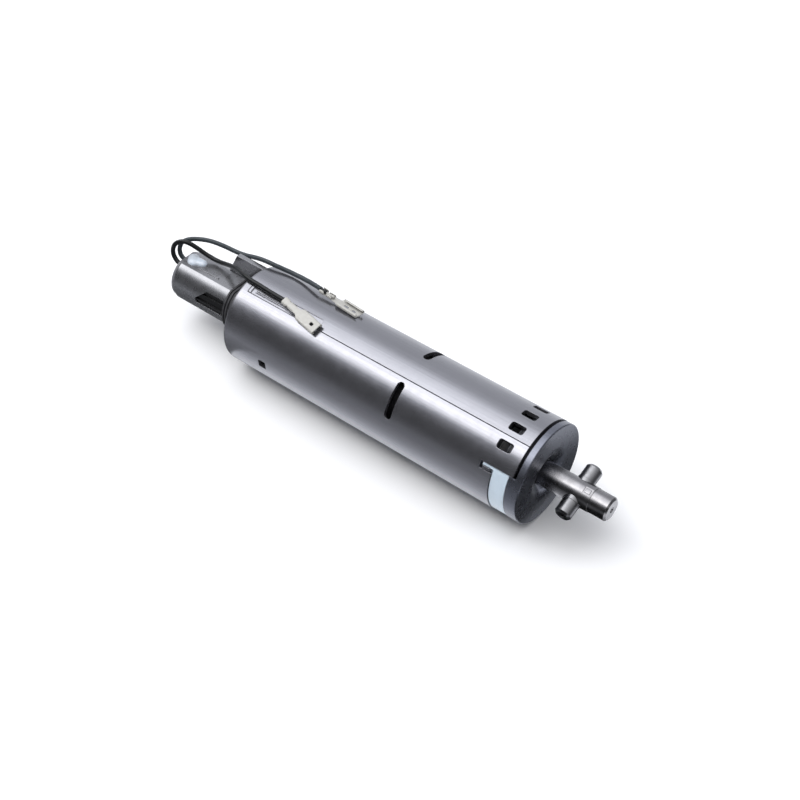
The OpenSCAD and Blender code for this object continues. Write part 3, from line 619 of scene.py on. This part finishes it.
def bent_sheet(name, stations, mat, holes):
    """Sheet-metal part lofted through (x, flat, curl, half, lift) stations."""
    mesh = bpy.data.meshes.new(name)
    bm = bmesh.new()
    rows = []
    for x, flat, curl, half, lift in stations:
        side = section(flat, curl, half)
        outline = [(-y, z) for y, z in reversed(side)] + side[1:]
        rows.append([bm.verts.new((x * MM, y * MM, (z + lift) * MM)) for y, z in outline])
    for (x, *_), a, b in zip(stations, rows, rows[1:]):
        for i in range(len(a) - 1):
            across = abs(a[i].co.y + a[i + 1].co.y) / 2
            if not (x in holes and across < HOLE_Y * MM and a[i].co.z < 0):
                bm.faces.new((a[i], a[i + 1], b[i + 1], b[i]))
    bm.normal_update()
    for face in bm.faces:
        face.smooth = True
    bm.to_mesh(mesh)
    bm.free()
    mesh.materials.append(mat)
    return mesh


def turned(roll, yaw, pitch):
    """Rotation of a terminal, as in part.scad, from angles in degrees."""
    return (Matrix.Rotation(math.radians(roll), 4, "X") @ Matrix.Rotation(math.radians(yaw), 4, "Z")
            @ Matrix.Rotation(math.radians(pitch), 4, "Y"))


# (x, half of the flat floor, curl radius, half width of the sheet, lift of the floor)
RECEPTACLE = [
    (0.2, 0.7, 0.72, 2.7, -0.82), (0.5, 0.75, 0.75, 2.9, -0.85), (1.4, 0.75, 0.75, 2.95, -0.85),
    (2.5, 0.75, 0.74, 2.9, -0.85), (2.8, 0.8, 1.0, 2.0, -0.85), (2.95, 0.9, 1.2, 1.1, -0.85),
    (3.5, 0.9, 1.2, 1.1, -0.85), (3.65, 0.7, 0.62, 2.2, -0.85), (3.9, 0.7, 0.60, 2.5, -0.85),
    (6.2, 0.7, 0.60, 2.5, -0.85), (6.6, 0.8, 0.7, 2.2, -0.85), (6.8, 1.0, 1.2, 1.3, -0.85),
    (8.9, 1.0, 1.2, 1.3, -0.85), (9.6, 1.3, 1.0, 1.8, -0.85), (10.1, 1.8, 0.8, 2.6, -0.85),
    (10.4, 1.95, 0.66, 3.4, -0.85), (10.6, 1.95, 0.62, 4.0, -0.85), (11.0, 1.95, 0.60, 4.3, -0.85),
    (12.4, 1.95, 0.60, 4.4, -0.85), (14.2, 1.95, 0.60, 4.4, -0.85), (16.6, 1.95, 0.60, 4.4, -0.85),
    (17.8, 1.95, 0.60, 4.4, -0.85),
    (19.8, 1.95, 0.60, 4.4, -0.85), (20.3, 1.98, 0.62, 4.4, -0.88),
]
ROUND_HOLE = (16.6,)            # stations at which an opening starts, on the first terminal
LANCE_SLOTS = (12.4, 16.6)      # and on the second one
HOLE_Y = 0.66                   # half the width of an opening, in millimetres


def make_terminal(name, node, start, turn, back_up, holes):
    """Crimped receptacle at the end of a lead. It stands for its CAD node."""
    mesh = bent_sheet(name, RECEPTACLE, tin, holes)
    terminal = link(name, mesh)
    if back_up:
        mesh.transform(Matrix.Scale(-1, 4, (0, 0, 1)))
        mesh.flip_normals()
    mesh.transform(Matrix.Translation(Vector(start) * MM) @ turn)
    thick = terminal.modifiers.new("thickness", "SOLIDIFY")
    thick.thickness = SHEET
    thick.offset = 0
    smooth = terminal.modifiers.new("smooth", "SUBSURF")
    smooth.levels = smooth.render_levels = 1
    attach(terminal, "housing")
    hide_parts(node)
    return terminal


def make_core(name, start, turn, back_up):
    """End of the lead inside the crimps: the insulation's end and the bare strands."""
    bm = bmesh.new()
    flip = -1 if back_up else 1
    for x0, x1, radius, index in ((-0.3, 3.1, 0.72, 0), (2.9, 6.9, 0.26, 1)):
        places = [k * math.tau / STRANDS for k in range(STRANDS)]
        offsets = [(0, 0)] if index == 0 else [
            (STRAND_RING * math.cos(p), STRAND_RING * math.sin(p)) for p in places]
        for dy, dz in offsets:
            rings = []
            for x, r in ((x0, radius * 0.8), (x0 + 0.15, radius), (x1 - 0.15, radius), (x1, radius * 0.7)):
                angles = [t * math.tau / CORE_SIDES for t in range(CORE_SIDES)]
                rings.append([bm.verts.new((x, dy + r * math.cos(t),
                                            dz - 0.1 * index * flip + r * math.sin(t)))
                              for t in angles])
            for a, b in zip(rings, rings[1:]):
                for i in range(CORE_SIDES):
                    j = (i + 1) % CORE_SIDES
                    face = bm.faces.new((a[i], a[j], b[j], b[i]))
                    face.material_index = index
                    face.smooth = True
            for cap in (list(reversed(rings[0])), rings[-1]):
                bm.faces.new(cap).material_index = index
    mesh = bpy.data.meshes.new(name)
    bmesh.ops.recalc_face_normals(bm, faces=bm.faces)
    bm.to_mesh(mesh)
    bm.free()
    mesh.transform(Matrix.Translation(Vector(start) * MM) @ turn @ Matrix.Scale(MM, 4))
    mesh.materials.append(lead_black)
    mesh.materials.append(tin)
    core = link(name, mesh)
    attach(core, "housing")
    return core


# ------------------------------------------------------------------ glue

def make_glue():
    """Bead of hot-melt glue: soft lumps melted together on the flat of the neck."""
    low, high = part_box("adhesive_blob")
    middle, size = (low + high) / 2, high - low
    bm = bmesh.new()
    for dx, dy, r in ((-0.28, 0.1, 0.46), (-0.14, -0.14, 0.5), (0.12, 0.05, 0.42), (0.28, 0.06, 0.38)):
        spot = Matrix.Translation((dx * size.x, dy * size.y, -0.1 * size.z))
        radius = r * size.y
        shape = Matrix.Diagonal((1.15 * radius, radius, 0.9 * size.z * (0.6 + r), 1))
        bmesh.ops.create_icosphere(bm, subdivisions=3, radius=1, matrix=spot @ shape)
    mesh = bpy.data.meshes.new("glue_bead")
    bm.to_mesh(mesh)
    bm.free()
    mesh.transform(Matrix.Translation((middle.x, middle.y, low.z)))
    mesh.materials.append(glue_mat)
    glue = link("glue_bead", mesh)
    remesh = glue.modifiers.new("melt", "REMESH")
    remesh.mode = "VOXEL"
    remesh.voxel_size = 0.22 * MM
    remesh.use_smooth_shade = True
    smooth = glue.modifiers.new("flow", "SMOOTH")
    smooth.iterations = 8
    smooth.factor = 0.6
    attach(glue, "housing")
    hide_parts("adhesive_blob")


# ------------------------------------------------------------------ build

paint_nodes()
lead_1 = make_lead("lead_1_jacket", LEAD_1_ROUTE, lead_black)
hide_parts("lead_1")
lead_2 = make_lead("lead_2_jacket", LEAD_2_ROUTE, lead_grey)
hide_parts("lead_2")
FIRST = dict(start=LEAD_1_ROUTE[-1], turn=turned(21.2, -11.5, 0), back_up=True)
SECOND = dict(start=LEAD_2_ROUTE[-1], turn=turned(-8, -3.4, 2), back_up=False)
terminal_1 = make_terminal("terminal_1", "receptacle_1", holes=ROUND_HOLE, **FIRST)
terminal_2 = make_terminal("terminal_2", "receptacle_2", holes=LANCE_SLOTS, **SECOND)
core_1 = make_core("lead_1_core", **FIRST)
core_2 = make_core("lead_2_core", **SECOND)
make_glue()
